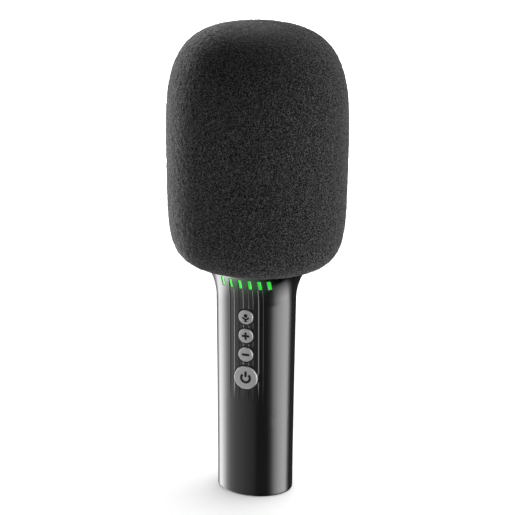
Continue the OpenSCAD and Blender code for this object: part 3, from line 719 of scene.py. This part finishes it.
def bore_rings():
    """A chamfer round each button's bore, laid on the skin; its matte black is painted shade
    of the gap.
    """
    for key, face_r in KEY_R.items():
        points = []
        for k in range(RING_STEPS):
            a = 2 * math.pi * k / RING_STEPS
            for out, lift in RING_SECTION:
                r = face_r + BUTTON_GAP + out
                x, z = r * math.cos(a), KEY_Z[key] + r * math.sin(a)
                points.append((x, skin_y(x, z) - lift, z))
        faces = loop_faces(0, RING_STEPS)
        # The rings' matte black is painted shade round each key
        mesh_piece(key + "_bore_ring", points, faces, INK_AND_SHADE, "handle")


groove_slopes()
slot_rims()
bore_rings()


# Stage: lamps for the part, and others for the floor, whose shadow stays short and soft

def direction(azimuth, height):
    """The way to a spot round the part: 0 degrees is its front, and 90 the photo's right."""
    a, e = math.radians(azimuth), math.radians(height)
    return Vector((math.sin(a) * math.cos(e), -math.cos(a) * math.cos(e), math.sin(e)))


PART_MIDDLE, FLOOR_MIDDLE = (0, 0, 0.12), (0, 0, 0)


def lamp(name, azimuth, height, distance, size, power, aim=PART_MIDDLE):
    data = bpy.data.lights.new(name, "AREA")
    data.shape = "RECTANGLE"
    data.size, data.size_y = size
    data.energy = power
    item = bpy.data.objects.new(name, data)
    way = direction(azimuth, height)
    item.location = Vector(aim) + way * distance
    item.rotation_mode = "QUATERNION"
    item.rotation_quaternion = way.to_track_quat("Z", "Y")
    item.visible_glossy = False
    scene.collection.objects.link(item)
    return item


part_lamps = [
    lamp("left_rim", -116, 8, 1.1, (0.3, 0.3), 20.5),
    lamp("right_box", 103, 6, 1.3, (0.9, 0.9), 7.2),
    lamp("back_top", 174, 46, 1.3, (1.3, 1.3), 7),
]
floor_lamps = [
    lamp("floor_wash", 157, 38, 1.2, (3.2, 0.8), 18.5, FLOOR_MIDDLE),
    lamp("floor_dome", 180, 89.9, 1.5, (5.0, 5.0), 104, FLOOR_MIDDLE),
]

FLOOR_HALF = 4.0
# How pale the floor is to the camera, and to the light that it throws back at the part
FLOOR_SEEN, FLOOR_BOUNCE = 0.8, 0.42
# The floor's own glow, near the part and far from it, and where it changes
GLOW_NEAR, GLOW_FAR, GLOW_FROM, GLOW_TO = 0.08, 1.0, 0.15, 0.6


def floor_white():
    material = bpy.data.materials.new("floor_white")
    material.use_nodes = True
    kit = Nodes(material.node_tree)
    kit.tree.nodes.clear()
    seen = kit.add("LightPath").outputs["Is Camera Ray"]
    paint = kit.add("BsdfDiffuse", {"Color": kit.span(seen, FLOOR_BOUNCE, FLOOR_SEEN)})
    spot = kit.add("TexCoord").outputs["Object"]
    reach = kit.add("VectorMath", {0: spot}, operation="LENGTH").outputs["Value"]
    inputs = {"Value": reach, "From Min": GLOW_FROM, "From Max": GLOW_TO,
              "To Min": GLOW_NEAR, "To Max": GLOW_FAR}
    far = kit.add("MapRange", inputs, interpolation_type="SMOOTHSTEP").outputs[0]
    glow = kit.add("Emission", {"Strength": kit.times(seen, far)})
    both = kit.add("AddShader", {0: paint.outputs[0], 1: glow.outputs[0]})
    # Seen from below, the floor is clear
    under = kit.add("NewGeometry").outputs["Backfacing"]
    clear = kit.add("BsdfTransparent")
    faced = kit.add("MixShader", {"Fac": under, 1: both.outputs[0], 2: clear.outputs[0]})
    kit.add("OutputMaterial", {"Surface": faced.outputs[0]})
    return material


def make_floor():
    mesh = bpy.data.meshes.new("floor")
    signs = ((-1, -1), (1, -1), (1, 1), (-1, 1))
    corners = [(x * FLOOR_HALF, y * FLOOR_HALF, 0) for x, y in signs]
    mesh.from_pydata(corners, [], [(0, 1, 2, 3)])
    mesh.materials.append(floor_white())
    floor = bpy.data.objects.new("floor", mesh)
    scene.collection.objects.link(floor)
    floor.visible_glossy = False
    for name, lamps, state in (("floor_only", floor_lamps, "INCLUDE"),
                               ("not_floor", part_lamps, "EXCLUDE")):
        group = bpy.data.collections.new(name)
        group.objects.link(floor)
        group.collection_objects[0].light_linking.link_state = state
        for item in lamps:
            item.light_linking.receiver_collection = group


make_floor()


# Surround: white to the camera, and two soft boxes to the gloss

# Brightness by azimuth: 0 is the front, -98 the middle of the left box, 90 of the right box
BOX_STOPS = [
    (-180, 0.015), (-146, 0.02), (-128, 0.14), (-113, 0.8), (-98, 1.0), (-86, 0.85),
    (-72, 0.42), (-60, 0.25), (-45, 0.17), (-20, 0.11), (0, 0.07), (12, 0.026),
    (35, 0.026), (44, 0.1), (55, 0.5), (70, 0.86), (90, 1.0), (105, 0.92),
    (114, 0.6), (122, 0.18), (134, 0.02), (180, 0.004),
]
BOX_POWER = 7.0
# The boxes' near edges slant, in degrees aside for each degree down from SLANT_MIDDLE
SLANT_TOP, SLANT_MIDDLE, SLANT_BOTTOM = 18.0, 22.0, 25.0
RIGHT_SLANT, LEFT_SLANT = 2.6, -0.6
# The azimuths over which a slant sets in, and over which the right one ends again
RIGHT_SETS_IN, RIGHT_ENDS, LEFT_SETS_IN = (20.0, 60.0), (105.0, 75.0), (-20.0, -60.0)
# The right box fades out well above the left one: the azimuths where this sets in, and
# the degrees down over which it fades
FADE_SETS_IN, RIGHT_FADE = (25.0, 40.0), (33.0, 64.0)
# What diffuse rays find, where the camera finds 1
DIFFUSE_LEVEL = 0.05


def make_world():
    world = bpy.data.worlds.new("studio")
    scene.world = world
    world.use_nodes = True
    world.cycles.sampling_method = "NONE"
    kit = Nodes(world.node_tree)
    kit.tree.nodes.clear()

    def degrees(operation, *values):
        return kit.times(kit.math(operation, *values), 180 / math.pi)

    def mix(share, one, other):
        """One where the share is 1, and the other where it is 0."""
        rest = kit.math("SUBTRACT", 1.0, share)
        return kit.math("ADD", kit.times(share, one), kit.times(rest, other))

    way = kit.add("SeparateXYZ", {0: kit.add("TexCoord").outputs["Generated"]}).outputs
    azimuth = degrees("ARCTAN2", way["X"], kit.times(way["Y"], -1.0))
    below = kit.times(degrees("ARCSINE", way["Z"]), -1.0)

    dip = kit.math("MINIMUM", kit.math("MAXIMUM", below, SLANT_TOP), SLANT_BOTTOM)
    dip = kit.math("SUBTRACT", dip, SLANT_MIDDLE)
    right = kit.times(kit.share(azimuth, *RIGHT_SETS_IN), kit.share(azimuth, *RIGHT_ENDS))
    right = kit.times(right, RIGHT_SLANT)
    left = kit.times(kit.share(azimuth, *LEFT_SETS_IN), LEFT_SLANT)
    slant = kit.times(kit.math("ADD", right, left), dip)

    turn = kit.share(kit.math("SUBTRACT", azimuth, slant), -180.0, 180.0)
    boxes = kit.ramp(turn, *[((angle + 180) / 360, value) for angle, value in BOX_STOPS])
    faded = kit.times(kit.share(azimuth, *FADE_SETS_IN), kit.share(below, *RIGHT_FADE))
    boxes = kit.times(kit.times(boxes, BOX_POWER), kit.math("SUBTRACT", 1.0, faded))

    path = kit.add("LightPath").outputs
    seen = kit.math("MAXIMUM", path["Is Camera Ray"], path["Is Transmission Ray"])
    level = mix(path["Is Glossy Ray"], boxes, mix(seen, 1.0, DIFFUSE_LEVEL))
    ground = kit.add("Background", {"Color": (1, 1, 1, 1), "Strength": level})
    kit.add("OutputWorld", {"Surface": ground.outputs[0]})


make_world()


# Camera: the photograph's angle and frame

SENSOR, LENS = 36.0, 164.6
PHOTO_SIZE = 515
PHOTO_AXIS = (256.55, 262.5)        # the pixel of the photo that the camera points at
CAMERA_AZIMUTH, CAMERA_HEIGHT, CAMERA_ROLL = 17.9, 19.12, 0.35
CAMERA_AIM, CAMERA_DISTANCE = (0, 0, 0.113), 1.1


def make_camera():
    data = bpy.data.cameras.new("camera")
    data.sensor_width = SENSOR
    data.lens = LENS
    data.shift_x = (PHOTO_SIZE / 2 - PHOTO_AXIS[0]) / PHOTO_SIZE
    data.shift_y = (PHOTO_AXIS[1] - PHOTO_SIZE / 2) / PHOTO_SIZE
    camera = bpy.data.objects.new("camera", data)
    back = direction(CAMERA_AZIMUTH, CAMERA_HEIGHT)
    roll = Matrix.Rotation(math.radians(CAMERA_ROLL), 3, "Z").to_quaternion()
    camera.location = Vector(CAMERA_AIM) + back * CAMERA_DISTANCE
    camera.rotation_mode = "QUATERNION"
    camera.rotation_quaternion = (-back).to_track_quat("-Z", "Y") @ roll
    scene.collection.objects.link(camera)
    scene.camera = camera


make_camera()
